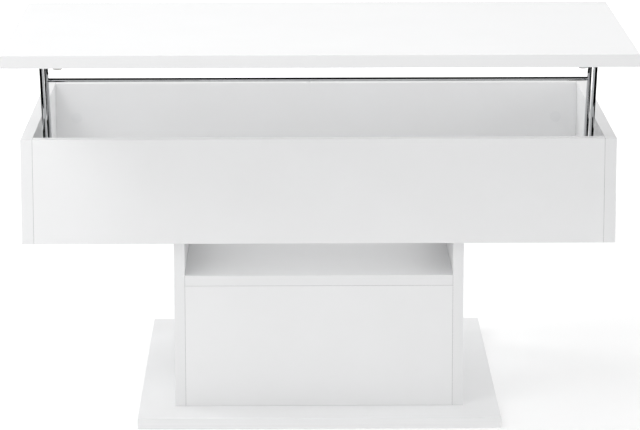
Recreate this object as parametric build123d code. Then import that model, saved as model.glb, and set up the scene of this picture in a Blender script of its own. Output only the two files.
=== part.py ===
from build123d import *
import math
import os

# Lift-top coffee table.  Millimetres.
# Origin: centre of the base plate's underside, on the floor.
# +X to the user's right, +Y away from the user, +Z up.
# The model stands in its raised pose: the top is lifted and swung forward
# on two pairs of parallel rod arms, which lean against their stops.

# ---- driving dimensions: boards -------------------------------------------
table_width = 1100.0
table_depth = 650.0
top_thickness = 22.0
box_board = 22.0
box_height = 197.0
bottom_board = 16.0
pedestal_board = 20.0
pedestal_width = 540.0
pedestal_recess = 20.0
pedestal_height = 316.0
nook_height = 65.0
base_thickness = 20.0
base_width = 674.0
base_depth = 790.0
edge_radius = 0.8

# ---- driving dimensions: lift ----------------------------------------------
raised_height = 750.0
forward_travel = 386.0
arm_lean_deg = 25.0
front_pivot_setback = 95.0
arm_spacing = 105.0
upper_pivot_drop = 20.0
arm_rod_radius = 4.0
arm_bend_radius = 9.0
arm_side_gap = 20.0
crossbar_below_upper_pivot = 93.0
crossbar_radius = 3.7
crossbar_end_cut = 16.0
plate_thickness = 3.0
plate_margin = 24.0
plate_half_height = 26.0
plate_corner_radius = 8.0
plate_screw_inset = 9.0
plate_screw_shares = (0.25, 0.75)
pin_past_plate = 3.5
bracket_side_gap = 7.0
bracket_flange_width = 40.0
bracket_below_pivot = 14.0
bracket_margin = 16.0
bracket_screw_share = 0.55
stop_pin_radius = 3.0
stop_pin_up_arm = 34.0
stop_pin_overhang = 3.0

# ---- driving dimensions: small parts -----------------------------------------
bush_wall = 1.5
bush_flange_radius = 8.0
bush_flange_thickness = 1.0
push_nut_radius = 7.0
push_nut_thickness = 1.2
pocket_radius = 10.0
pocket_depth = 6.0
bumper_radius = 8.0
bumper_thickness = 3.0
bumper_rounding = 1.0
bumper_inset = 98.0
dowel_radius = 4.0
dowel_length = 32.0
dowel_depth_in_face = 12.0
cam_radius = 7.5
cam_depth = 13.0
cam_setback = 42.0
cam_bolt_radius = 3.0
cam_bolt_depth = 11.0
cam_cover_radius = 11.0
cam_cover_thickness = 0.8
screw_radius = 2.0
screw_length = 15.0
screw_head_radius = 4.0
screw_head_height = 2.2
confirmat_radius = 3.5
confirmat_length = 50.0
confirmat_head_radius = 5.0
confirmat_head_height = 4.0
cap_radius = 6.5
cap_thickness = 1.0
recess_reach = 2.2
recess_width = 0.9
recess_depth = 1.4
cam_slot_reach = 4.6
cam_slot_width = 1.4
cam_slot_depth = 1.8

# ---- driving dimensions: joinery insets from board edges ------------------------
corner_dowel_drops = (30.0, 106.0)
corner_cam_drops = (71.0, 142.0)
bottom_dowel_inset = 90.0
pedestal_screw_inset = 80.0
panel_dowel_inset = 50.0
shelf_dowel_inset = 70.0
fastener_rows = 3

# ---- named clearances --------------------------------------------------------
pin_clearance = 0.05
seat_clearance = 0.3
stop_clearance = 0.3
side_clearance = 0.3
dowel_end_gap = 1.0
cam_head_gap = 0.5

# ---- levels and faces --------------------------------------------------------
half_width = table_width / 2
front_face = -table_depth / 2
back_face = table_depth / 2
inner_half_width = half_width - box_board
pedestal_half = pedestal_width / 2
pedestal_inner_half = pedestal_half - pedestal_board
pedestal_front = front_face + pedestal_recess
pedestal_back = back_face - pedestal_recess
box_underside = base_thickness + pedestal_height
rim = box_underside + box_height
tray_floor = box_underside + bottom_board
shelf_top = box_underside - nook_height
shelf_underside = shelf_top - pedestal_board

# ---- lift geometry: four-bar with equal arms ----------------------------------
lowered_underside = rim + bumper_thickness + seat_clearance
raised_underside = raised_height - top_thickness
rise = raised_underside - lowered_underside
chord = math.hypot(forward_travel, rise)
chord_slope_deg = math.degrees(math.atan2(rise, forward_travel))
lowered_slope_deg = 90.0 - 2 * chord_slope_deg - arm_lean_deg
swing_deg = 90.0 + arm_lean_deg - lowered_slope_deg
arm_length = chord / (2 * math.sin(math.radians(swing_deg / 2)))
lean = math.radians(arm_lean_deg)
up_arm_y = -math.sin(lean)
up_arm_z = math.cos(lean)
upper_pivot_z = raised_underside - upper_pivot_drop
lower_pivot_z = upper_pivot_z - arm_length * up_arm_z
front_pivot_y = front_face + front_pivot_setback
rear_pivot_y = front_pivot_y + arm_spacing
arm_x = inner_half_width - arm_side_gap
plate_face_x = inner_half_width - plate_thickness
bracket_outer_x = inner_half_width - bracket_side_gap
bracket_inner_x = bracket_outer_x - plate_thickness
bush_bore = arm_rod_radius + pin_clearance
bush_outer = bush_bore + bush_wall
top_front = front_face - forward_travel
top_back = back_face - forward_travel

SIDES = {"left": -1, "right": 1}
os.makedirs("parts", exist_ok=True)


def save(name, shape):
    export_step(shape, os.path.join("parts", name + ".step"))


def group(solids):
    return Compound(children=[piece.solid() for piece in solids])


def block(x_range, y_range, z_range):
    """Box between pairs of limits, in either order."""
    spans = [sorted(pair) for pair in (x_range, y_range, z_range)]
    sizes = [high - low for low, high in spans]
    middle = [(high + low) / 2 for low, high in spans]
    return Pos(*middle) * Box(*sizes)


def board(x_range, y_range, z_range):
    """Panel with lightly eased edges."""
    panel = block(x_range, y_range, z_range)
    return fillet(panel.edges(), edge_radius)


def bar(start, end, radius):
    """Round bar from one point to another."""
    start = Vector(*start)
    direction = Vector(*end) - start
    placed = Plane(origin=start, z_dir=direction)
    length = direction.length
    return placed * Cylinder(radius, length, align=(Align.CENTER, Align.CENTER, Align.MIN))


def x_bar(x_range, y, z, radius):
    return bar((x_range[0], y, z), (x_range[1], y, z), radius)


def up_arm(pivot_y, distance, forward=0.0):
    """Point at a distance along a raised arm, and in front of its centre line."""
    y = pivot_y + distance * up_arm_y - forward * up_arm_z
    z = lower_pivot_z + distance * up_arm_z + forward * up_arm_y
    return y, z


def rows_between(low, high, inset):
    """Evenly spaced fastener rows, the end ones set in from both limits."""
    first = low + inset
    step = (high - inset - first) / (fastener_rows - 1)
    return [first + step * i for i in range(fastener_rows)]


def cross_slot(face_point, direction, reach, width, depth):
    """Cross-shaped driver recess sunk from a point on a face."""
    sunk = (Align.CENTER, Align.CENTER, Align.MIN)
    cross = Box(2 * reach, width, depth, align=sunk) + Box(width, 2 * reach, depth, align=sunk)
    return Plane(origin=face_point, x_dir=across(direction), z_dir=direction) * cross


def across(direction):
    """A direction square to one of the main axes."""
    return (direction[1], direction[2], direction[0])


def screw_recess(face_point, direction):
    return cross_slot(face_point, direction, recess_reach, recess_width, recess_depth)


# ---- joinery places ------------------------------------------------------------
corner_dowel_levels = [rim - drop for drop in corner_dowel_drops]
corner_cam_levels = [rim - drop for drop in corner_cam_drops]
bottom_dowel_rows = rows_between(front_face, back_face, bottom_dowel_inset)
bottom_dowel_level = box_underside + bottom_board / 2
pedestal_screw_rows = rows_between(pedestal_front, pedestal_back, pedestal_screw_inset)
panel_dowel_levels = [base_thickness + panel_dowel_inset, shelf_underside - panel_dowel_inset]
shelf_dowel_rows = rows_between(pedestal_front, pedestal_back, shelf_dowel_inset)
shelf_level = shelf_top - pedestal_board / 2
end_panel_middles = {
    "front": front_face + box_board / 2,
    "back": back_face - box_board / 2,
}
pedestal_panel_middles = {
    "front": pedestal_front + pedestal_board / 2,
    "back": pedestal_back - pedestal_board / 2,
}
tray_screw_x = pedestal_half - pedestal_board / 2
plate_screw_level = plate_half_height - plate_screw_inset
plate_screws = [
    (front_pivot_y + share * arm_spacing, lower_pivot_z + direction * plate_screw_level)
    for share in plate_screw_shares
    for direction in SIDES.values()
]
bracket_screw_x = bracket_inner_x - bracket_screw_share * bracket_flange_width
upper_front_y = up_arm(front_pivot_y, arm_length)[0]
upper_rear_y = upper_front_y + arm_spacing
bracket_screw_rows = rows_between(upper_front_y, upper_rear_y, 0)


def side_dowel(x_face, side, y, z):
    """Dowel lying along X, seated in a side board's inner face."""
    outer = side * (x_face + dowel_depth_in_face)
    return x_bar((outer, outer - side * dowel_length), y, z, dowel_radius)


def side_dowel_hole(x_face, side, y, z):
    """Bore for that dowel, a little deeper at both ends."""
    outer = side * (x_face + dowel_depth_in_face + dowel_end_gap)
    full = dowel_length + 2 * dowel_end_gap
    return x_bar((outer, outer - side * full), y, z, dowel_radius)


def box_dowel_sites():
    corners = [(y, z) for y in end_panel_middles.values() for z in corner_dowel_levels]
    floor = [(y, bottom_dowel_level) for y in bottom_dowel_rows]
    return corners + floor


def pedestal_dowel_sites():
    panels = [(y, z) for y in pedestal_panel_middles.values() for z in panel_dowel_levels]
    shelf = [(y, shelf_level) for y in shelf_dowel_rows]
    return panels + shelf


def cam_sites():
    """Each cam: side, board's middle y, inner face y, direction into the board, level."""
    sites = []
    for side in SIDES.values():
        for name, middle in end_panel_middles.items():
            inward = -1 if name == "front" else 1
            face = middle - inward * box_board / 2
            for z in corner_cam_levels:
                sites.append((side, middle, face, inward, z))
    return sites


def cam_body(side, face, inward, z, radius, depth):
    x = side * (inner_half_width - cam_setback)
    return bar((x, face, z), (x, face + inward * depth, z), radius)


def cam_bolt(side, middle, z, radius, head_reach):
    outer = side * (inner_half_width + cam_bolt_depth)
    inner = side * (inner_half_width - cam_setback + head_reach)
    return x_bar((outer, inner), middle, z, radius)


def lower_pin_sites():
    return [(front_pivot_y, lower_pivot_z), (rear_pivot_y, lower_pivot_z)]


def stop_pin(side):
    """Pin on the lower plate that the raised front arm leans on."""
    reach = arm_rod_radius + stop_pin_radius + stop_clearance
    y, z = up_arm(front_pivot_y, stop_pin_up_arm, reach)
    inner = arm_x - stop_pin_overhang
    return x_bar((side * inner_half_width, side * inner), y, z, stop_pin_radius)


def plate_screw(side, y, z):
    face = side * plate_face_x
    shank = x_bar((face, face + side * screw_length), y, z, screw_radius)
    head_face = face - side * screw_head_height
    head = x_bar((face, head_face), y, z, screw_head_radius)
    return shank + head - screw_recess((head_face, y, z), (side, 0, 0))


def plate_screw_hole(side, y, z):
    face = side * plate_face_x
    return x_bar((face, face + side * screw_length), y, z, screw_radius)


def tray_screw(x, y, grown=0.0):
    """Flat-headed joining screw, down through the tray floor into a pedestal side."""
    head = bar((x, y, tray_floor), (x, y, tray_floor - confirmat_head_height), confirmat_head_radius)
    shank = bar((x, y, tray_floor), (x, y, tray_floor - confirmat_length - grown), confirmat_radius)
    return head + shank


def base_screw(x, y, grown=0.0):
    """The same screw, up through the base plate into a pedestal side."""
    head = bar((x, y, 0), (x, y, confirmat_head_height), confirmat_head_radius)
    shank = bar((x, y, 0), (x, y, confirmat_length + grown), confirmat_radius)
    return head + shank


def tray_screw_sites():
    return [(side * tray_screw_x, y) for side in SIDES.values() for y in pedestal_screw_rows]


# ---- storage box ------------------------------------------------------------------
def box_side(side):
    panel = board(
        (side * inner_half_width, side * half_width),
        (front_face, back_face),
        (box_underside, rim),
    )
    for y, z in box_dowel_sites():
        panel -= side_dowel_hole(inner_half_width, side, y, z)
    for cam_side, middle, _, _, z in cam_sites():
        if cam_side == side:
            panel -= cam_bolt(side, middle, z, cam_bolt_radius, 0)
    for y, z in lower_pin_sites():
        pocket = (side * inner_half_width, side * (inner_half_width + pocket_depth))
        panel -= x_bar(pocket, y, z, pocket_radius)
    for y, z in plate_screws:
        panel -= plate_screw_hole(side, y, z)
    return panel


def box_end(name):
    middle = end_panel_middles[name]
    panel = board(
        (-inner_half_width, inner_half_width),
        (middle - box_board / 2, middle + box_board / 2),
        (box_underside, rim),
    )
    for side in SIDES.values():
        for z in corner_dowel_levels:
            panel -= side_dowel_hole(inner_half_width, side, middle, z)
    for side, cam_middle, face, inward, z in cam_sites():
        if cam_middle == middle:
            panel -= cam_body(side, face, inward, z, cam_radius, cam_depth)
            panel -= cam_bolt(side, middle, z, cam_bolt_radius, 0)
    return panel


def box_bottom():
    panel = board(
        (-inner_half_width, inner_half_width),
        (front_face + box_board, back_face - box_board),
        (box_underside, tray_floor),
    )
    for side in SIDES.values():
        for y in bottom_dowel_rows:
            panel -= side_dowel_hole(inner_half_width, side, y, bottom_dowel_level)
    for x, y in tray_screw_sites():
        panel -= tray_screw(x, y)
    return panel


# ---- pedestal and base ---------------------------------------------------------------
def pedestal_side(side):
    panel = board(
        (side * pedestal_inner_half, side * pedestal_half),
        (pedestal_front, pedestal_back),
        (base_thickness, box_underside),
    )
    for y, z in pedestal_dowel_sites():
        panel -= side_dowel_hole(pedestal_inner_half, side, y, z)
    for x, y in tray_screw_sites():
        if x * side > 0:
            panel -= tray_screw(x, y, dowel_end_gap)
            panel -= base_screw(x, y, dowel_end_gap)
    return panel


def pedestal_panel(name):
    middle = pedestal_panel_middles[name]
    panel = board(
        (-pedestal_inner_half, pedestal_inner_half),
        (middle - pedestal_board / 2, middle + pedestal_board / 2),
        (base_thickness, shelf_underside),
    )
    for side in SIDES.values():
        for z in panel_dowel_levels:
            panel -= side_dowel_hole(pedestal_inner_half, side, middle, z)
    return panel


def pedestal_shelf():
    panel = board(
        (-pedestal_inner_half, pedestal_inner_half),
        (pedestal_front, pedestal_back),
        (shelf_underside, shelf_top),
    )
    for side in SIDES.values():
        for y in shelf_dowel_rows:
            panel -= side_dowel_hole(pedestal_inner_half, side, y, shelf_level)
    return panel


def base_plate():
    panel = board(
        (-base_width / 2, base_width / 2),
        (-base_depth / 2, base_depth / 2),
        (0, base_thickness),
    )
    for x, y in tray_screw_sites():
        panel -= base_screw(x, y)
    return panel


# ---- fasteners ------------------------------------------------------------------------
def cam_lock(side, middle, face, inward, z):
    """Cam drum with the bore that takes its bolt's head and a cross slot."""
    drum = cam_body(side, face, inward, z, cam_radius, cam_depth)
    drum -= cam_bolt(side, middle, z, cam_bolt_radius + cam_head_gap, cam_head_gap)
    x = side * (inner_half_width - cam_setback)
    return drum - cross_slot((x, face, z), (0, inward, 0), cam_slot_reach, cam_slot_width, cam_slot_depth)


def cam_cover(side, face, inward, z):
    x = side * (inner_half_width - cam_setback)
    cover = bar((x, face, z), (x, face - inward * cam_cover_thickness, z), cam_cover_radius)
    return cover


def cap(x, y):
    return bar((x, y, tray_floor), (x, y, tray_floor + cap_thickness), cap_radius)


# ---- lift ------------------------------------------------------------------------------
def lower_plate(side):
    """Steel plate on the side board's inner face: two pivots and a stop."""
    y_low = front_pivot_y - plate_margin
    y_high = rear_pivot_y + plate_margin
    plate = block(
        (side * plate_face_x, side * inner_half_width),
        (y_low, y_high),
        (lower_pivot_z - plate_half_height, lower_pivot_z + plate_half_height),
    )
    plate = fillet(plate.edges().filter_by(Axis.X), plate_corner_radius)
    for y, z in lower_pin_sites():
        plate -= x_bar((side * plate_face_x, side * inner_half_width), y, z, bush_outer)
    for y, z in plate_screws:
        plate -= plate_screw_hole(side, y, z)
    return plate - stop_pin(side)


def bush(side, inner_x, outer_x, y, z):
    """Flanged plastic bush: its flange is on the arm's side of the plate."""
    sleeve = x_bar((side * inner_x, side * outer_x), y, z, bush_outer)
    flange_x = side * (inner_x - bush_flange_thickness)
    flange = x_bar((flange_x, side * inner_x), y, z, bush_flange_radius)
    bore = x_bar((flange_x, side * outer_x), y, z, bush_bore)
    return sleeve + flange - bore


def arm(side, pivot_y):
    """Rod with both ends bent outward to make the pivot pins."""
    top_y, top_z = up_arm(pivot_y, arm_length)
    lower_end = side * (inner_half_width + pin_past_plate)
    upper_end = side * (bracket_outer_x + pin_past_plate)
    path = FilletPolyline(
        (lower_end, pivot_y, lower_pivot_z),
        (side * arm_x, pivot_y, lower_pivot_z),
        (side * arm_x, top_y, top_z),
        (upper_end, top_y, top_z),
        radius=arm_bend_radius,
    )
    section = Plane(origin=path @ 0, z_dir=path % 0) * Circle(arm_rod_radius)
    return sweep(section, path=path)


def push_nut(side, x, y, z):
    """Domed retaining ring gripping the end of an arm's pin."""
    far = x + push_nut_thickness
    ring = x_bar((side * x, side * far), y, z, push_nut_radius)
    return ring - x_bar((side * x, side * far), y, z, arm_rod_radius)


def arm_push_nuts(side, pivot_y):
    top_y, top_z = up_arm(pivot_y, arm_length)
    lower_x = inner_half_width + side_clearance
    upper_x = bracket_outer_x + side_clearance
    return [
        push_nut(side, lower_x, pivot_y, lower_pivot_z),
        push_nut(side, upper_x, top_y, top_z),
    ]


def crossbar():
    """Rod between the rear arms, its ends shaped to their round sides."""
    middle = arm_length - crossbar_below_upper_pivot
    rod = x_bar((-arm_x, arm_x), *up_arm(rear_pivot_y, middle), crossbar_radius)
    for side in SIDES.values():
        low = up_arm(rear_pivot_y, middle - crossbar_end_cut)
        high = up_arm(rear_pivot_y, middle + crossbar_end_cut)
        rod -= bar((side * arm_x, *low), (side * arm_x, *high), arm_rod_radius)
    return max(rod.solids(), key=lambda piece: piece.volume)


def top_bracket(side):
    """Angle under the top: one flange screwed up, one hanging down with two pivots."""
    y_range = (upper_front_y - bracket_margin, upper_rear_y + bracket_margin)
    hanging = block(
        (side * bracket_inner_x, side * bracket_outer_x),
        y_range,
        (upper_pivot_z - bracket_below_pivot, raised_underside),
    )
    lower_corners = hanging.edges().filter_by(Axis.X).sort_by(Axis.Z)[:2]
    hanging = fillet(lower_corners, plate_corner_radius)
    flange_inner_x = side * (bracket_outer_x - bracket_flange_width)
    flange = block(
        (flange_inner_x, side * bracket_outer_x),
        y_range,
        (raised_underside - plate_thickness, raised_underside),
    )
    bracket = hanging + flange
    for y in (upper_front_y, upper_rear_y):
        bracket -= x_bar((side * bracket_inner_x, side * bracket_outer_x), y, upper_pivot_z, bush_outer)
    for y in bracket_screw_rows:
        bracket -= bracket_screw_hole(side, y)
    return bracket


def bracket_screw_hole(side, y):
    x = side * bracket_screw_x
    low = raised_underside - plate_thickness
    return bar((x, y, low), (x, y, low + screw_length), screw_radius)


def bracket_screw(side, y):
    x = side * bracket_screw_x
    low = raised_underside - plate_thickness
    head_face = low - screw_head_height
    head = bar((x, y, low), (x, y, head_face), screw_head_radius)
    return bracket_screw_hole(side, y) + head - screw_recess((x, y, head_face), (0, 0, 1))


def tabletop():
    panel = board((-half_width, half_width), (top_front, top_back), (raised_underside, raised_height))
    for side in SIDES.values():
        for y in bracket_screw_rows:
            panel -= bracket_screw_hole(side, y)
    return panel


def bumper(x, y):
    """Pad under the top that lands on the box's front or back rim."""
    pad = bar((x, y, raised_underside), (x, y, raised_underside - bumper_thickness), bumper_radius)
    return fillet(pad.edges().sort_by(Axis.Z)[:1], bumper_rounding)


def build():
    save("tabletop", tabletop())
    save("box_front_panel", box_end("front"))
    save("box_back_panel", box_end("back"))
    save("box_bottom_panel", box_bottom())
    save("pedestal_front_panel", pedestal_panel("front"))
    save("pedestal_back_panel", pedestal_panel("back"))
    save("pedestal_shelf", pedestal_shelf())
    save("base_plate", base_plate())
    rear_nuts = []
    for name, side in SIDES.items():
        save("box_side_" + name, box_side(side))
        save("pedestal_side_" + name, pedestal_side(side))
        save("lower_plate_" + name, lower_plate(side))
        save("top_bracket_" + name, top_bracket(side))
        save("stop_pin_" + name, stop_pin(side))
        save("front_arm_" + name, arm(side, front_pivot_y))
        save("front_arm_push_nuts_" + name, group(arm_push_nuts(side, front_pivot_y)))
        save("rear_arm_" + name, arm(side, rear_pivot_y))
        rear_nuts += arm_push_nuts(side, rear_pivot_y)
    save("rear_arm_push_nuts", group(rear_nuts))
    save("crossbar", crossbar())
    lower_bushes = [
        bush(side, plate_face_x, inner_half_width, y, z)
        for side in SIDES.values()
        for y, z in lower_pin_sites()
    ]
    save("lower_bushes", group(lower_bushes))
    upper_bushes = [
        bush(side, bracket_inner_x, bracket_outer_x, y, upper_pivot_z)
        for side in SIDES.values()
        for y in (upper_front_y, upper_rear_y)
    ]
    save("upper_bushes", group(upper_bushes))
    save("lower_plate_screws", group(
        [plate_screw(side, y, z) for side in SIDES.values() for y, z in plate_screws]))
    save("top_bracket_screws", group(
        [bracket_screw(side, y) for side in SIDES.values() for y in bracket_screw_rows]))
    bumper_x = half_width - bumper_inset
    bumper_rows = (top_front + box_board / 2, top_back - box_board / 2)
    save("bumper_pads", group(
        [bumper(side * bumper_x, y) for side in SIDES.values() for y in bumper_rows]))
    save("box_dowels", group(
        [side_dowel(inner_half_width, side, y, z)
         for side in SIDES.values() for y, z in box_dowel_sites()]))
    save("pedestal_dowels", group(
        [side_dowel(pedestal_inner_half, side, y, z)
         for side in SIDES.values() for y, z in pedestal_dowel_sites()]))
    save("cam_locks", group([cam_lock(*site) for site in cam_sites()]))
    save("cam_bolts", group(
        [cam_bolt(side, middle, z, cam_bolt_radius, cam_head_gap + cam_head_gap)
         for side, middle, _, _, z in cam_sites()]))
    save("cam_covers", group(
        [cam_cover(side, face, inward, z) for side, _, face, inward, z in cam_sites()]))
    save("tray_screws", group(
        [tray_screw(x, y) - screw_recess((x, y, tray_floor), (0, 0, -1))
         for x, y in tray_screw_sites()]))
    save("tray_screw_caps", group([cap(x, y) for x, y in tray_screw_sites()]))
    save("base_screws", group(
        [base_screw(x, y) - screw_recess((x, y, 0), (0, 0, 1))
         for x, y in tray_screw_sites()]))
    print("arm length", arm_length, "swing", swing_deg, "lowered slope", lowered_slope_deg)
    print("lower pivots y", front_pivot_y, rear_pivot_y, "z", lower_pivot_z)
    print("upper pivots y", upper_front_y, upper_rear_y, "z", upper_pivot_z)


build()
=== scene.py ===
import math

import bpy
from mathutils import Matrix, Vector


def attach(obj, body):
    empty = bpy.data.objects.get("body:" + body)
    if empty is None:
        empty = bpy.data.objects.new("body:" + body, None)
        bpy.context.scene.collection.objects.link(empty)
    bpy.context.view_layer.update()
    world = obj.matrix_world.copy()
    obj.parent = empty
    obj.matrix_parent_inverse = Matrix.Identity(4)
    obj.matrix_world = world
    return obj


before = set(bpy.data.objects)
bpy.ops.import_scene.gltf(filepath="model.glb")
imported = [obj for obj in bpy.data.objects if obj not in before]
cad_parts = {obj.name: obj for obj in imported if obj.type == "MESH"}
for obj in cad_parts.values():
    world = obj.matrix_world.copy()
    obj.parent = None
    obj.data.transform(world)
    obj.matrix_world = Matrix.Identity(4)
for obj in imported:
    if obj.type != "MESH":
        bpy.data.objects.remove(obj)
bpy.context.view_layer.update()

# Lift-top coffee table: looks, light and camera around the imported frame.
# Metres; +X to the user's right, +Y away from the user, +Z up.

MM = 0.001


# ---- node helpers -------------------------------------------------------------
class Nodes:
    """A material's or world's node tree, with short calls to add and join nodes."""

    def __init__(self, owner):
        owner.use_nodes = True
        self.tree = owner.node_tree
        self.tree.nodes.clear()

    def add(self, kind, **settings):
        node = self.tree.nodes.new(kind)
        for name, value in settings.items():
            setattr(node, name, value)
        return node

    def join(self, source, target):
        self.tree.links.new(source, target)

    def coordinates(self):
        return self.add("ShaderNodeTexCoord")

    def noise(self, vector, scale, detail=3.0, roughness=0.5):
        node = self.add("ShaderNodeTexNoise")
        node.inputs["Scale"].default_value = scale
        node.inputs["Detail"].default_value = detail
        node.inputs["Roughness"].default_value = roughness
        self.join(vector, node.inputs["Vector"])
        return node.outputs["Fac"]

    def stretch(self, vector, scale):
        node = self.add("ShaderNodeMapping")
        node.inputs["Scale"].default_value = scale
        self.join(vector, node.inputs["Vector"])
        return node.outputs["Vector"]

    def remap(self, value, source, target):
        """The value, taken from one (low, high) range to another."""
        node = self.add("ShaderNodeMapRange")
        sockets = ("From Min", "From Max", "To Min", "To Max")
        for name, number in zip(sockets, (*source, *target)):
            node.inputs[name].default_value = number
        self.join(value, node.inputs["Value"])
        return node.outputs["Result"]

    def math(self, operation, first, second=None):
        node = self.add("ShaderNodeMath", operation=operation)
        for socket, value in zip(node.inputs, (first, second)):
            if value is None:
                continue
            if isinstance(value, (int, float)):
                socket.default_value = value
            else:
                self.join(value, socket)
        return node.outputs["Value"]

    def mix_colour(self, factor, first, second):
        node = self.add("ShaderNodeMix", data_type="RGBA")
        self.join(factor, node.inputs["Factor"])
        for name, colour in (("A", first), ("B", second)):
            socket = [s for s in node.inputs if s.name == name and s.type == "RGBA"][0]
            if isinstance(colour, tuple):
                socket.default_value = (*colour, 1.0)
            else:
                self.join(colour, socket)
        return [s for s in node.outputs if s.type == "RGBA"][0]

    def bump(self, height, distance, strength=1.0, under=None):
        node = self.add("ShaderNodeBump")
        node.inputs["Distance"].default_value = distance
        node.inputs["Strength"].default_value = strength
        self.join(height, node.inputs["Height"])
        if under is not None:
            self.join(under, node.inputs["Normal"])
        return node.outputs["Normal"]

    def shader(self, **values):
        shader = self.add("ShaderNodeBsdfPrincipled")
        output = self.add("ShaderNodeOutputMaterial")
        self.join(shader.outputs["BSDF"], output.inputs["Surface"])
        for name, value in values.items():
            socket = shader.inputs[name.replace("_", " ")]
            if isinstance(value, (int, float)):
                socket.default_value = value
            elif isinstance(value, tuple):
                socket.default_value = (*value, 1.0)
            else:
                self.join(value, socket)
        return shader


def new_material(name):
    material = bpy.data.materials.new(name)
    return material, Nodes(material)


# ---- materials ------------------------------------------------------------------
FACE_WHITE = (0.865, 0.868, 0.872)
FACE_SHADE = (0.850, 0.852, 0.855)
BAND_WHITE = (0.845, 0.848, 0.852)
BAND_SHADE = (0.832, 0.834, 0.838)
CHROME_TONES = ((0.48, 0.49, 0.50), (0.58, 0.59, 0.60))
PAD_TONES = ((0.42, 0.42, 0.42), (0.55, 0.55, 0.54))
BEECH_TONES = ((0.52, 0.34, 0.19), (0.70, 0.52, 0.33))
JOINT_TONES = ((0.20, 0.20, 0.20), (0.30, 0.30, 0.30))
FLOOR_TONES = ((0.86, 0.86, 0.86), (0.90, 0.90, 0.90))
# black of the cards that only mirrors see: painted dark reflections on the chrome rods
REFLECTION_CARD_BLACK = (0.004, 0.004, 0.004)

# how much a board's normal must point along its thin axis to count as its face
FACE_LIMIT = (0.70, 0.74)
# the ranges that noise mostly keeps to
MIDDLE = (0.3, 0.7)
WIDE_MIDDLE = (0.25, 0.75)
FULL = (0.0, 1.0)
# bump heights, in metres
FINE_GRAIN = 0.00002
PEARL_RELIEF = 0.00003
DRAWN_LINES = 0.000004
ROLLED_GRAIN = 0.00001
WOOD_GRAIN = 0.00005


def melamine(name, thin_axis):
    """White melamine board: pearled faces, and smoother plastic bands on its thin edges."""
    material, nodes = new_material(name)
    where = nodes.coordinates()
    grain = nodes.noise(where.outputs["Object"], scale=1900.0, detail=2.0, roughness=0.6)
    pearl = nodes.noise(where.outputs["Object"], scale=420.0, detail=3.0, roughness=0.55)
    cloud = nodes.noise(where.outputs["Object"], scale=7.0, detail=4.0, roughness=0.6)
    parts = nodes.add("ShaderNodeSeparateXYZ")
    nodes.join(where.outputs["Normal"], parts.inputs["Vector"])
    facing = nodes.math("ABSOLUTE", parts.outputs[thin_axis])
    is_face = nodes.remap(facing, FACE_LIMIT, FULL)
    face_colour = nodes.mix_colour(nodes.remap(cloud, MIDDLE, FULL), FACE_SHADE, FACE_WHITE)
    band_colour = nodes.mix_colour(nodes.remap(cloud, MIDDLE, FULL), BAND_SHADE, BAND_WHITE)
    colour = nodes.mix_colour(is_face, band_colour, face_colour)
    face_rough = nodes.remap(pearl, WIDE_MIDDLE, (0.38, 0.50))
    band_rough = nodes.remap(cloud, WIDE_MIDDLE, (0.27, 0.34))
    rough = nodes.math(
        "ADD",
        nodes.math("MULTIPLY", face_rough, is_face),
        nodes.math("MULTIPLY", band_rough, nodes.math("SUBTRACT", 1.0, is_face)),
    )
    fine = nodes.bump(nodes.math("MULTIPLY", grain, is_face), FINE_GRAIN)
    relief = nodes.bump(pearl, PEARL_RELIEF, strength=0.8, under=fine)
    nodes.shader(Base_Color=colour, Roughness=rough, Normal=relief, IOR=1.5)
    return material


def chrome(name):
    """Bright chrome plate on drawn rod, with faint drawing lines and handling marks."""
    material, nodes = new_material(name)
    where = nodes.coordinates()
    smear = nodes.noise(where.outputs["Object"], scale=60.0, detail=4.0, roughness=0.65)
    drawn = nodes.stretch(where.outputs["Object"], (1.0, 0.12, 0.05))
    scratch = nodes.noise(drawn, scale=1500.0, detail=2.0)
    tone = nodes.mix_colour(smear, *CHROME_TONES)
    rough = nodes.remap(smear, (0.3, 0.75), (0.035, 0.10))
    relief = nodes.bump(scratch, DRAWN_LINES, strength=0.5)
    nodes.shader(Base_Color=tone, Metallic=1.0, Roughness=rough, Normal=relief)
    return material


def zinc_plate(name, tones, roughness):
    """Rolled or cast steel parts with zinc plate: cloudy tone, fine grain."""
    material, nodes = new_material(name)
    where = nodes.coordinates()
    cloud = nodes.noise(where.outputs["Object"], scale=90.0, detail=5.0, roughness=0.6)
    rolled = nodes.stretch(where.outputs["Object"], (1.0, 0.08, 1.0))
    grain = nodes.noise(rolled, scale=2600.0, detail=2.0)
    tone = nodes.mix_colour(nodes.remap(cloud, MIDDLE, FULL), *tones)
    rough = nodes.remap(cloud, MIDDLE, roughness)
    relief = nodes.bump(grain, ROLLED_GRAIN, strength=0.7)
    nodes.shader(Base_Color=tone, Metallic=1.0, Roughness=rough, Normal=relief)
    return material


def plastic(name, tones, roughness, grain_depth):
    """Moulded plastic with spark-eroded grain."""
    material, nodes = new_material(name)
    where = nodes.coordinates()
    grain = nodes.noise(where.outputs["Object"], scale=2400.0, detail=2.0, roughness=0.6)
    cloud = nodes.noise(where.outputs["Object"], scale=40.0, detail=3.0)
    tone = nodes.mix_colour(cloud, *tones)
    rough = nodes.remap(grain, MIDDLE, roughness)
    relief = nodes.bump(grain, grain_depth)
    nodes.shader(Base_Color=tone, Roughness=rough, Normal=relief, IOR=1.5)
    return material


def soft_pad(name):
    """Translucent bumper pad."""
    material, nodes = new_material(name)
    where = nodes.coordinates()
    cloud = nodes.noise(where.outputs["Object"], scale=160.0, detail=3.0)
    tone = nodes.mix_colour(cloud, *PAD_TONES)
    rough = nodes.remap(cloud, MIDDLE, (0.32, 0.48))
    nodes.shader(
        Base_Color=tone,
        Roughness=rough,
        IOR=1.43,
        Subsurface_Weight=0.3,
        Subsurface_Scale=0.002,
    )
    return material


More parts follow.
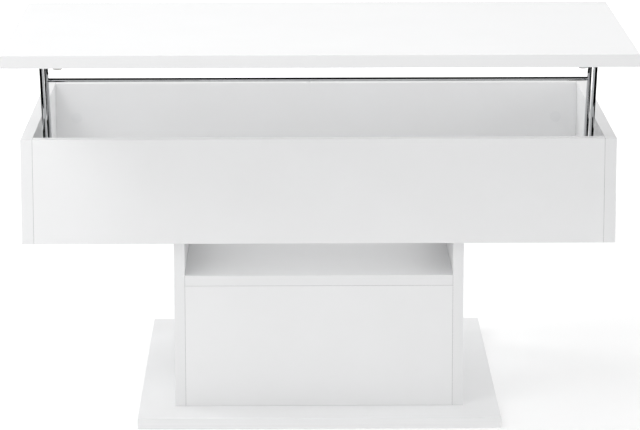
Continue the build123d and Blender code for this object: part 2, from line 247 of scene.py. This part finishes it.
def beech(name):
    """Dowel beech: straight grain along the dowel with short ray flecks."""
    material, nodes = new_material(name)
    where = nodes.coordinates()
    long_grain = nodes.stretch(where.outputs["Object"], (0.06, 1.0, 1.0))
    lines = nodes.noise(long_grain, scale=900.0, detail=5.0, roughness=0.6)
    short_grain = nodes.stretch(where.outputs["Object"], (0.25, 1.0, 1.0))
    flecks = nodes.noise(short_grain, scale=2600.0, detail=2.0)
    tone = nodes.mix_colour(nodes.remap(lines, MIDDLE, FULL), *BEECH_TONES)
    rough = nodes.remap(flecks, MIDDLE, (0.5, 0.7))
    relief = nodes.bump(lines, WOOD_GRAIN)
    nodes.shader(Base_Color=tone, Roughness=rough, Normal=relief)
    return material


board_across_x = melamine("melamine_across_x", "X")
board_across_y = melamine("melamine_across_y", "Y")
board_across_z = melamine("melamine_across_z", "Z")
chrome_rod = chrome("chrome_rod")
pressed_steel = zinc_plate(
    "pressed_zinc_steel", tones=((0.50, 0.51, 0.52), (0.62, 0.63, 0.64)), roughness=(0.28, 0.40)
)
screw_steel = zinc_plate(
    "screw_zinc_steel", tones=((0.55, 0.55, 0.54), (0.68, 0.68, 0.66)), roughness=(0.22, 0.34)
)
cast_zinc = zinc_plate(
    "cast_zinc", tones=((0.42, 0.43, 0.44), (0.54, 0.55, 0.56)), roughness=(0.40, 0.55)
)
black_nylon = plastic(
    "black_nylon",
    tones=((0.018, 0.018, 0.019), (0.028, 0.028, 0.029)),
    roughness=(0.42, 0.56),
    grain_depth=0.00001,
)
white_plastic = plastic(
    "white_plastic",
    tones=((0.82, 0.825, 0.83), (0.85, 0.855, 0.86)),
    roughness=(0.34, 0.44),
    grain_depth=0.000008,
)
bumper = soft_pad("bumper_pad")
dowel_beech = beech("dowel_beech")

MATERIAL_OF = {
    "tabletop": board_across_z,
    "box_bottom_panel": board_across_z,
    "pedestal_shelf": board_across_z,
    "base_plate": board_across_z,
    "box_front_panel": board_across_y,
    "box_back_panel": board_across_y,
    "pedestal_front_panel": board_across_y,
    "pedestal_back_panel": board_across_y,
    "box_side_left": board_across_x,
    "box_side_right": board_across_x,
    "pedestal_side_left": board_across_x,
    "pedestal_side_right": board_across_x,
    "front_arm_left": chrome_rod,
    "front_arm_right": chrome_rod,
    "rear_arm_left": chrome_rod,
    "rear_arm_right": chrome_rod,
    "crossbar": chrome_rod,
    "lower_plate_left": pressed_steel,
    "lower_plate_right": pressed_steel,
    "top_bracket_left": pressed_steel,
    "top_bracket_right": pressed_steel,
    "stop_pin_left": screw_steel,
    "stop_pin_right": screw_steel,
    "lower_plate_screws": screw_steel,
    "top_bracket_screws": screw_steel,
    "front_arm_push_nuts_left": screw_steel,
    "front_arm_push_nuts_right": screw_steel,
    "rear_arm_push_nuts": screw_steel,
    "cam_bolts": screw_steel,
    "tray_screws": screw_steel,
    "base_screws": screw_steel,
    "cam_locks": cast_zinc,
    "lower_bushes": black_nylon,
    "upper_bushes": black_nylon,
    "cam_covers": white_plastic,
    "tray_screw_caps": white_plastic,
    "bumper_pads": bumper,
    "box_dowels": dowel_beech,
    "pedestal_dowels": dowel_beech,
}

for node_name, node_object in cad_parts.items():
    for slot in node_object.material_slots:
        slot.material = MATERIAL_OF[node_name]


# ---- sizes read from the frame -------------------------------------------------
def node_bounds(name):
    """Low and high corner of a CAD node."""
    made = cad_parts[name]
    spots = [made.matrix_world @ Vector(corner) for corner in made.bound_box]
    low = [min(spot[axis] for spot in spots) for axis in range(3)]
    high = [max(spot[axis] for spot in spots) for axis in range(3)]
    return low, high


box_board_low, box_board_high = node_bounds("box_back_panel")
pedestal_board_low, pedestal_board_high = node_bounds("pedestal_back_panel")
shelf_low, shelf_high = node_bounds("pedestal_shelf")
INNER_HALF_WIDTH = box_board_high[0]
BOX_INNER_FACE = box_board_low[1]
BOX_FACE = box_board_high[1]
BOX_UNDERSIDE = box_board_low[2]
RIM = box_board_high[2]
TRAY_FLOOR = node_bounds("box_bottom_panel")[1][2]
PEDESTAL_INNER_HALF_WIDTH = pedestal_board_high[0]
PEDESTAL_FACE = pedestal_board_high[1]
BASE_TOP = pedestal_board_low[2]
SHELF_UNDERSIDE = shelf_low[2]
SHELF_TOP = shelf_high[2]


# ---- board joints --------------------------------------------------------------
JOINT_HALF_WIDTH = 0.0002
JOINT_BELOW_FACE = 0.00027
JOINT_DEPTH = 0.0004


def joint_shadow():
    """The dark line at the bottom of the groove between two butted boards."""
    material, nodes = new_material("joint_shadow")
    where = nodes.coordinates()
    cloud = nodes.noise(where.outputs["Object"], scale=60.0, detail=3.0)
    tone = nodes.mix_colour(cloud, *JOINT_TONES)
    rough = nodes.remap(cloud, MIDDLE, (0.8, 0.95))
    nodes.shader(Base_Color=tone, Roughness=rough, Specular_IOR_Level=0.1)
    return material


def joint_box(vertices, faces, low, high):
    """Add one thin box between two corners to the joint lines' mesh."""
    first = len(vertices)
    for x in (low[0], high[0]):
        for y in (low[1], high[1]):
            for z in (low[2], high[2]):
                vertices.append((x, y, z))
    for face in ((0, 1, 3, 2), (4, 6, 7, 5), (0, 4, 5, 1), (2, 3, 7, 6), (0, 2, 6, 4), (1, 5, 7, 3)):
        faces.append([first + corner for corner in face])


def add_joint_lines():
    """Lines between side boards and end boards, over the rim and under the shelf, at both ends."""
    vertices = []
    faces = []
    wide = JOINT_HALF_WIDTH
    inset = JOINT_BELOW_FACE
    bottom = JOINT_BELOW_FACE + JOINT_DEPTH
    for end in (-1, 1):
        box_y = sorted((end * (BOX_FACE - inset), end * (BOX_FACE - bottom)))
        rim_y = sorted((end * (BOX_FACE - inset), end * (BOX_INNER_FACE + inset)))
        pedestal_y = sorted((end * (PEDESTAL_FACE - inset), end * (PEDESTAL_FACE - bottom)))
        for side in (-1, 1):
            box_x = side * INNER_HALF_WIDTH
            pedestal_x = side * PEDESTAL_INNER_HALF_WIDTH
            grooves = (
                (box_x, box_y, (BOX_UNDERSIDE + inset, RIM - inset)),
                (box_x, rim_y, (RIM - bottom, RIM - inset)),
                (pedestal_x, pedestal_y, (BASE_TOP + inset, SHELF_TOP - inset)),
            )
            for x, (low_y, high_y), (low_z, high_z) in grooves:
                joint_box(vertices, faces, (x - wide, low_y, low_z), (x + wide, high_y, high_z))
        reach = PEDESTAL_INNER_HALF_WIDTH - inset
        low_y, high_y = pedestal_y
        shelf_groove_low = (-reach, low_y, SHELF_UNDERSIDE - wide)
        shelf_groove_high = (reach, high_y, SHELF_UNDERSIDE + wide)
        joint_box(vertices, faces, shelf_groove_low, shelf_groove_high)
    mesh = bpy.data.meshes.new("board_joint_lines")
    mesh.from_pydata(vertices, [], faces)
    mesh.materials.append(joint_shadow())
    lines = bpy.data.objects.new("board_joint_lines", mesh)
    bpy.context.scene.collection.objects.link(lines)
    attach(lines, "cabinet")


add_joint_lines()


# ---- stage -------------------------------------------------------------------------
FLOOR_PLACE = (0.0, 8.0, 0.0)
FLOOR_SIZE = 60.0
# the floor glows more behind the table: Y from the floor's centre, and the strengths there
GLOW_FROM = (-6.5, -3.0)
GLOW_STRENGTH = (0.16, 0.95)


def floor_material():
    material, nodes = new_material("studio_floor")
    where = nodes.coordinates()
    cloud = nodes.noise(where.outputs["Object"], scale=1.5, detail=3.0)
    tone = nodes.mix_colour(cloud, *FLOOR_TONES)
    parts = nodes.add("ShaderNodeSeparateXYZ")
    nodes.join(where.outputs["Object"], parts.inputs["Vector"])
    glow = nodes.remap(parts.outputs["Y"], GLOW_FROM, GLOW_STRENGTH)
    nodes.shader(
        Base_Color=tone,
        Roughness=0.9,
        Specular_IOR_Level=0.1,
        Emission_Color=(1.0, 1.0, 1.0),
        Emission_Strength=glow,
    )
    return material


# the cards' black is seen only in reflections: painted dark reflections on the rods, not a part of the
# table
def card_material():
    material, nodes = new_material("dark_reflection_card")
    nodes.shader(Base_Color=REFLECTION_CARD_BLACK, Roughness=1.0, Specular_IOR_Level=0.0)
    return material


def add_floor():
    mesh = bpy.data.meshes.new("studio_floor")
    half = FLOOR_SIZE / 2
    corners = [(-half, -half, 0), (half, -half, 0), (half, half, 0), (-half, half, 0)]
    mesh.from_pydata(corners, [], [(0, 1, 2, 3)])
    mesh.materials.append(floor_material())
    floor = bpy.data.objects.new("studio_floor", mesh)
    floor.location = FLOOR_PLACE
    bpy.context.scene.collection.objects.link(floor)


add_floor()
CARD = card_material()


def dark_reflection_card(name, low, high):
    """Flat black card between two corners that only mirrors see: a painted dark reflection, it puts the
    dark side on the rods.
    """
    mesh = bpy.data.meshes.new(name)
    low_x, low_y, low_z = low
    high_x, high_y, high_z = high
    if low_x == high_x:
        turn = [(low_x, high_y, low_z), high, (low_x, low_y, high_z)]
    elif low_y == high_y:
        turn = [(high_x, low_y, low_z), high, (low_x, low_y, high_z)]
    else:
        turn = [(high_x, low_y, low_z), high, (low_x, high_y, low_z)]
    mesh.from_pydata([low, *turn], [], [(0, 1, 2, 3)])
    mesh.materials.append(CARD)
    card = bpy.data.objects.new(name, mesh)
    bpy.context.scene.collection.objects.link(card)
    card.visible_camera = False
    card.visible_diffuse = False
    card.visible_shadow = False
    card.visible_transmission = False


CARD_GAP = 0.001
CARD_REACH = 0.035
PLATE_TOP = 0.485
ARM_ZONE = (-0.300, 0.060)
# corners of the two cards over the floor, (x, y) at the right-hand side, and their height
FLOOR_CARD = ((0.345, -1.30), (4.00, 2.90))
NEAR_FLOOR_CARD = ((0.25, -1.30), (0.345, -0.42))
FLOOR_CARD_HEIGHT = 0.01
# how far the card over the crossbar reaches past the bar
BAR_CARD_AHEAD = 0.046
BAR_CARD_BEHIND = 0.016
BAR_CARD_ABOVE = 0.008


def add_side_cards(side_name, side):
    """Black cards that only mirrors see, over the floor, on the side board and tray by the arms, and on
    the front board: painted dark reflections on the chrome rods, where the boards and floor there are
    white.
    """
    (floor_x, floor_y), (far_floor_x, far_floor_y) = FLOOR_CARD
    (near_x, near_y), (near_far_x, near_far_y) = NEAR_FLOOR_CARD
    floor_z = FLOOR_CARD_HEIGHT
    wall_x = side * (INNER_HALF_WIDTH - CARD_GAP)
    reach_x = side * (INNER_HALF_WIDTH - CARD_REACH)
    front_y = CARD_GAP - BOX_INNER_FACE
    tray_z = TRAY_FLOOR + CARD_GAP
    arm_y, far_arm_y = ARM_ZONE
    # each card is a painted dark reflection on the chrome arm rods, seen by no camera, diffuse or
    # shadow ray
    cards = {
        "floor_flag": ((side * floor_x, floor_y, floor_z), (side * far_floor_x, far_floor_y, floor_z)),
        "near_floor_flag": ((side * near_x, near_y, floor_z), (side * near_far_x, near_far_y, floor_z)),
        "wall_flag": ((wall_x, arm_y, PLATE_TOP), (wall_x, far_arm_y, RIM)),
        "tray_flag": ((wall_x, arm_y, tray_z), (reach_x, far_arm_y, tray_z)),
        "front_flag": ((wall_x, front_y, TRAY_FLOOR), (reach_x, front_y, RIM)),
    }
    for name, (low, high) in cards.items():
        dark_reflection_card(name + "_" + side_name, low, high)


def add_crossbar_card():
    """A black card over the crossbar that only mirrors see, only while the bar stands clear of the box:
    a painted dark reflection on the bar's upper half, standing in for the shaded underside of the top.
    """
    low, high = node_bounds("crossbar")
    if low[2] <= RIM:
        return
    card_z = high[2] + BAR_CARD_ABOVE
    near = (low[0], low[1] - BAR_CARD_AHEAD, card_z)
    far = (high[0], high[1] + BAR_CARD_BEHIND, card_z)
    dark_reflection_card("crossbar_flag", near, far)


add_side_cards("left", -1)
add_side_cards("right", 1)
add_crossbar_card()


# ---- light ------------------------------------------------------------------------------
AIM = (0.0, -0.1, 0.45)
NOOK_AIM = (0.0, 0.0, 0.29)
FLOOR_AIM = (0.0, 0.0, 0.0)
WORLD_STRENGTH = 0.545

# name: place, aim, width, height, watts
SOFTBOXES = {
    "back_top": ((0.0, 3.0, 2.6), AIM, 3.0, 2.0, 22.6),
    "front_left": ((-3.0, -4.0, 2.0), AIM, 2.2, 2.2, 15.0),
    "high_front": ((0.0, -3.4, 3.9), AIM, 2.5, 2.0, 3.1),
    "high_front_left": ((-2.2, -3.0, 3.6), AIM, 2.0, 2.0, 54.7),
    "left": ((-3.5, -0.5, 1.2), AIM, 2.0, 2.0, 1.4),
    "left_back": ((-3.0, 1.8, 2.2), AIM, 2.0, 2.0, 41.2),
    "left_front": ((-3.6, -2.2, 1.3), AIM, 2.0, 2.0, 1.0),
    "nook_back": ((0.0, 1.1, 0.36), NOOK_AIM, 0.5, 0.12, 0.77),
    "nook_ceiling": ((0.0, 0.0, 0.333), FLOOR_AIM, 0.46, 0.56, 0.213),
    "over_left": ((-2.5, -0.5, 3.2), AIM, 2.5, 2.5, 0.6),
    "right": ((3.5, -0.5, 1.2), AIM, 2.0, 2.0, 41.6),
    "right_front": ((3.6, -2.2, 1.3), AIM, 2.0, 2.0, 0.4),
    "top_centre_left": ((-0.6, -0.6, 3.6), AIM, 1.5, 1.5, 13.1),
}


def softbox(name, place, aim, size_x, size_y, power):
    light = bpy.data.lights.new(name, "AREA")
    light.shape = "RECTANGLE"
    light.size = size_x
    light.size_y = size_y
    light.energy = power
    made = bpy.data.objects.new(name, light)
    made.location = place
    made.rotation_euler = (Vector(place) - Vector(aim)).to_track_quat("Z", "Y").to_euler()
    made.visible_camera = False
    bpy.context.scene.collection.objects.link(made)


for light_name, settings in SOFTBOXES.items():
    softbox(light_name, *settings)

world = bpy.data.worlds.new("studio")
bpy.context.scene.world = world
world_nodes = Nodes(world)
background = world_nodes.add("ShaderNodeBackground")
background.inputs["Color"].default_value = (1.0, 1.0, 1.0, 1.0)
background.inputs["Strength"].default_value = WORLD_STRENGTH
world_output = world_nodes.add("ShaderNodeOutputWorld")
world_nodes.join(background.outputs["Background"], world_output.inputs["Surface"])

bpy.context.scene.view_settings.view_transform = "Standard"
bpy.context.scene.view_settings.look = "None"

# ---- camera -------------------------------------------------------------------------------
CAMERA_PLACE = (-48.35 * MM, -6347.2 * MM, 1644.8 * MM)
CAMERA_DOWN_DEG = 11.77
CAMERA_TURN_DEG = -0.48
CAMERA_ROLL_DEG = -0.09
CAMERA_LENS_MM = 187.0
SENSOR_WIDTH_MM = 36.0
CAMERA_SEES_TO = 100.0


def add_camera():
    down = math.radians(CAMERA_DOWN_DEG)
    turn = math.radians(CAMERA_TURN_DEG)
    roll = math.radians(CAMERA_ROLL_DEG)
    level_right = Vector((math.cos(turn), math.sin(turn), 0.0))
    level_ahead = Vector((-math.sin(turn), math.cos(turn), 0.0))
    ahead = level_ahead * math.cos(down) - Vector((0, 0, 1)) * math.sin(down)
    upright = Vector((0, 0, 1)) * math.cos(down) + level_ahead * math.sin(down)
    right = level_right * math.cos(roll) + upright * math.sin(roll)
    up = upright * math.cos(roll) - level_right * math.sin(roll)
    data = bpy.data.cameras.new("camera")
    data.sensor_width = SENSOR_WIDTH_MM
    data.lens = CAMERA_LENS_MM
    data.clip_end = CAMERA_SEES_TO
    camera = bpy.data.objects.new("camera", data)
    turned = Matrix((right, up, -ahead)).transposed()
    camera.matrix_world = Matrix.Translation(CAMERA_PLACE) @ turned.to_4x4()
    bpy.context.scene.collection.objects.link(camera)
    bpy.context.scene.camera = camera


add_camera()
